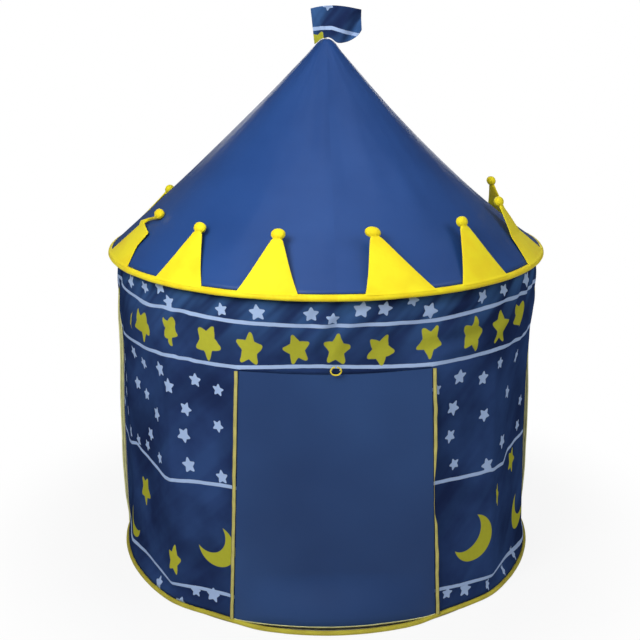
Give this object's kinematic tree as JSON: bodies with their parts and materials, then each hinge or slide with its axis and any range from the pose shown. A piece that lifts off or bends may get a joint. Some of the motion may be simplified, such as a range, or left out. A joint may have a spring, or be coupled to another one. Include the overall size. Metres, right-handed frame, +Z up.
{
  "type": "kids play tent",
  "caption": "Round castle play tent for a child: pointed roof with a crown of cloth points, sprung hoops, jointed poles, a roll-up door flap and a small flag on top.",
  "frame": {"origin": "on the ground, in the middle under the tent", "axes": "+Z up; the door faces -Y; +X is to the right of someone who looks at the door"},
  "size_m": [1.072, 1.072, 1.3447],
  "materials": {
    "roof_cloth": "smooth woven polyester, soft sheen",
    "door_cloth": "smooth woven polyester, soft sheen",
    "print_cloth": "woven polyester with printed stars and moons",
    "crown_yellow": "smooth woven polyester",
    "hem_yellow": "woven polyester sleeve",
    "piping_yellow": "folded binding tape",
    "spring_steel": "tempered spring wire",
    "pole_white": "smooth moulded tube",
    "fitting_white": "moulded"
  },
  "bodies": {
    "frame": {"base_hoop": "spring_steel", "eave_hoop": "spring_steel", "base_hem": "hem_yellow", "crown_band": "crown_yellow", "front_wall": "print_cloth", "rear_wall": "print_cloth", "left_jamb_tape": "piping_yellow", "right_jamb_tape": "piping_yellow", "left_side_piping": "piping_yellow", "right_side_piping": "piping_yellow", "roof_canopy": "roof_cloth", "wall_pole_lower_1": "pole_white", "wall_pole_lower_2": "pole_white", "wall_pole_lower_3": "pole_white", "wall_pole_lower_4": "pole_white", "wall_pole_upper_1": "pole_white", "wall_pole_upper_2": "pole_white", "wall_pole_upper_3": "pole_white", "wall_pole_upper_4": "pole_white", "roof_pole_lower_1": "pole_white", "roof_pole_lower_2": "pole_white", "roof_pole_lower_3": "pole_white", "roof_pole_lower_4": "pole_white", "roof_pole_upper_1": "pole_white", "roof_pole_upper_2": "pole_white", "roof_pole_upper_3": "pole_white", "roof_pole_upper_4": "pole_white", "eave_elbow_1": "fitting_white", "eave_elbow_2": "fitting_white", "eave_elbow_3": "fitting_white", "eave_elbow_4": "fitting_white", "apex_hub": "fitting_white", "flag_staff": "pole_white", "door_toggle": "fitting_white"},
    "crown_point_01": {"crown_point_01": "crown_yellow"},
    "crown_point_02": {"crown_point_02": "crown_yellow"},
    "crown_point_03": {"crown_point_03": "crown_yellow"},
    "crown_point_04": {"crown_point_04": "crown_yellow"},
    "crown_point_05": {"crown_point_05": "crown_yellow"},
    "crown_point_06": {"crown_point_06": "crown_yellow"},
    "crown_point_07": {"crown_point_07": "crown_yellow"},
    "crown_point_08": {"crown_point_08": "crown_yellow"},
    "crown_point_09": {"crown_point_09": "crown_yellow"},
    "crown_point_10": {"crown_point_10": "crown_yellow"},
    "crown_point_11": {"crown_point_11": "crown_yellow"},
    "crown_point_12": {"crown_point_12": "crown_yellow"},
    "flag": {"flag": "print_cloth"},
    "door_loop": {"door_loop": "crown_yellow"},
    "door_flap_01": {"door_flap_01": "door_cloth"},
    "door_flap_02": {"door_flap_02": "door_cloth"},
    "door_flap_03": {"door_flap_03": "door_cloth"},
    "door_flap_04": {"door_flap_04": "door_cloth"},
    "door_flap_05": {"door_flap_05": "door_cloth"},
    "door_flap_06": {"door_flap_06": "door_cloth"},
    "door_flap_07": {"door_flap_07": "door_cloth"},
    "door_flap_08": {"door_flap_08": "door_cloth"},
    "door_flap_09": {"door_flap_09": "door_cloth"},
    "door_flap_10": {"door_flap_10": "door_cloth"},
    "door_flap_11": {"door_flap_11": "door_cloth"},
    "door_flap_12": {"door_flap_12": "door_cloth"}
  },
  "joints": [
    {"name": "crown_point_01_fold", "type": "hinge", "parent": "frame", "child": "crown_point_01", "pos_m": [0.13156, -0.51238, 0.7863], "axis": [0.9686, 0.2487, 0], "range_deg": [-6, 120], "stiffness_Nm_per_rad": 0.4},
    {"name": "crown_point_02_fold", "type": "hinge", "parent": "frame", "child": "crown_point_02", "pos_m": [0.32423, -0.41799, 0.7863], "axis": [0.7902, 0.6129, 0], "range_deg": [-6, 120], "stiffness_Nm_per_rad": 0.4},
    {"name": "crown_point_03_fold", "type": "hinge", "parent": "frame", "child": "crown_point_03", "pos_m": [0.4868, -0.20704, 0.7863], "axis": [0.3914, 0.9202, 0], "range_deg": [0, 120], "stiffness_Nm_per_rad": 0.4},
    {"name": "crown_point_04_fold", "type": "hinge", "parent": "frame", "child": "crown_point_04", "pos_m": [0.49367, 0.19009, 0.7863], "axis": [-0.3593, 0.9332, 0], "range_deg": [-6, 120], "stiffness_Nm_per_rad": 0.4},
    {"name": "crown_point_05_fold", "type": "hinge", "parent": "frame", "child": "crown_point_05", "pos_m": [0.33334, 0.41076, 0.7863], "axis": [-0.7765, 0.6301, 0], "range_deg": [-6, 120], "stiffness_Nm_per_rad": 0.4},
    {"name": "crown_point_06_fold", "type": "hinge", "parent": "frame", "child": "crown_point_06", "pos_m": [0.11864, 0.51553, 0.7863], "axis": [-0.9745, 0.2243, 0], "range_deg": [-6, 120], "stiffness_Nm_per_rad": 0.4},
    {"name": "crown_point_07_fold", "type": "hinge", "parent": "frame", "child": "crown_point_07", "pos_m": [-0.11864, 0.51553, 0.7863], "axis": [-0.9745, -0.2243, 0], "range_deg": [-6, 120], "stiffness_Nm_per_rad": 0.4},
    {"name": "crown_point_08_fold", "type": "hinge", "parent": "frame", "child": "crown_point_08", "pos_m": [-0.33334, 0.41076, 0.7863], "axis": [-0.7765, -0.6301, 0], "range_deg": [-6, 120], "stiffness_Nm_per_rad": 0.4},
    {"name": "crown_point_09_fold", "type": "hinge", "parent": "frame", "child": "crown_point_09", "pos_m": [-0.49367, 0.19009, 0.7863], "axis": [-0.3593, -0.9332, 0], "range_deg": [0, 120], "stiffness_Nm_per_rad": 0.4},
    {"name": "crown_point_10_fold", "type": "hinge", "parent": "frame", "child": "crown_point_10", "pos_m": [-0.49544, -0.18543, 0.7863], "axis": [0.3505, -0.9366, 0], "range_deg": [0, 120], "stiffness_Nm_per_rad": 0.4},
    {"name": "crown_point_11_fold", "type": "hinge", "parent": "frame", "child": "crown_point_11", "pos_m": [-0.33334, -0.41076, 0.7863], "axis": [0.7765, -0.6301, 0], "range_deg": [-3, 120], "stiffness_Nm_per_rad": 0.4},
    {"name": "crown_point_12_fold", "type": "hinge", "parent": "frame", "child": "crown_point_12", "pos_m": [-0.14279, -0.50936, 0.7863], "axis": [0.9629, -0.2699, 0], "range_deg": [-6, 120], "stiffness_Nm_per_rad": 0.4},
    {"name": "flag_turn", "type": "hinge", "parent": "frame", "child": "flag", "pos_m": [0, 0, 1.2694], "axis": [-0.3987, 0, 0.9171], "range_deg": [-55, 55]},
    {"name": "loop_swing", "type": "hinge", "parent": "frame", "child": "door_loop", "pos_m": [0, -0.48259, 0.6146], "axis": [-1, 0, 0], "range_deg": [0, 160]},
    {"name": "door_swing", "type": "hinge", "parent": "frame", "child": "door_flap_01", "pos_m": [0, -0.4746, 0.592], "axis": [-1, 0, 0], "range_deg": [-25, 45]},
    {"name": "door_roll", "type": "hinge", "parent": "door_flap_01", "child": "door_flap_02", "pos_m": [0, -0.4746, 0.53053], "axis": [-1, 0, 0], "range_deg": [0, 72]},
    {"name": "door_roll_03", "type": "hinge", "parent": "door_flap_02", "child": "door_flap_03", "pos_m": [0, -0.4746, 0.47147], "axis": [-1, 0, 0], "range_deg": [0, 72]},
    {"name": "door_roll_04", "type": "hinge", "parent": "door_flap_03", "child": "door_flap_04", "pos_m": [0, -0.4746, 0.4148], "axis": [-1, 0, 0], "range_deg": [0, 72]},
    {"name": "door_roll_05", "type": "hinge", "parent": "door_flap_04", "child": "door_flap_05", "pos_m": [0, -0.4746, 0.36053], "axis": [-1, 0, 0], "range_deg": [0, 72]},
    {"name": "door_roll_06", "type": "hinge", "parent": "door_flap_05", "child": "door_flap_06", "pos_m": [0, -0.4746, 0.30867], "axis": [-1, 0, 0], "range_deg": [0, 72]},
    {"name": "door_roll_07", "type": "hinge", "parent": "door_flap_06", "child": "door_flap_07", "pos_m": [0, -0.4746, 0.2592], "axis": [-1, 0, 0], "range_deg": [0, 72]},
    {"name": "door_roll_08", "type": "hinge", "parent": "door_flap_07", "child": "door_flap_08", "pos_m": [0, -0.4746, 0.21213], "axis": [-1, 0, 0], "range_deg": [0, 72]},
    {"name": "door_roll_09", "type": "hinge", "parent": "door_flap_08", "child": "door_flap_09", "pos_m": [0, -0.4746, 0.16747], "axis": [-1, 0, 0], "range_deg": [0, 72]},
    {"name": "door_roll_10", "type": "hinge", "parent": "door_flap_09", "child": "door_flap_10", "pos_m": [0, -0.4746, 0.1252], "axis": [-1, 0, 0], "range_deg": [0, 72]},
    {"name": "door_roll_11", "type": "hinge", "parent": "door_flap_10", "child": "door_flap_11", "pos_m": [0, -0.4746, 0.08533], "axis": [-1, 0, 0], "range_deg": [0, 72]},
    {"name": "door_roll_12", "type": "hinge", "parent": "door_flap_11", "child": "door_flap_12", "pos_m": [0, -0.4746, 0.04787], "axis": [-1, 0, 0], "range_deg": [0, 72]}
  ],
  "couplings": [
    {"joint": "door_roll_03", "follows": "door_roll", "ratio": 1},
    {"joint": "door_roll_04", "follows": "door_roll", "ratio": 1},
    {"joint": "door_roll_05", "follows": "door_roll", "ratio": 1},
    {"joint": "door_roll_06", "follows": "door_roll", "ratio": 1},
    {"joint": "door_roll_07", "follows": "door_roll", "ratio": 1},
    {"joint": "door_roll_08", "follows": "door_roll", "ratio": 1},
    {"joint": "door_roll_09", "follows": "door_roll", "ratio": 1},
    {"joint": "door_roll_10", "follows": "door_roll", "ratio": 1},
    {"joint": "door_roll_11", "follows": "door_roll", "ratio": 1},
    {"joint": "door_roll_12", "follows": "door_roll", "ratio": 1}
  ]
}
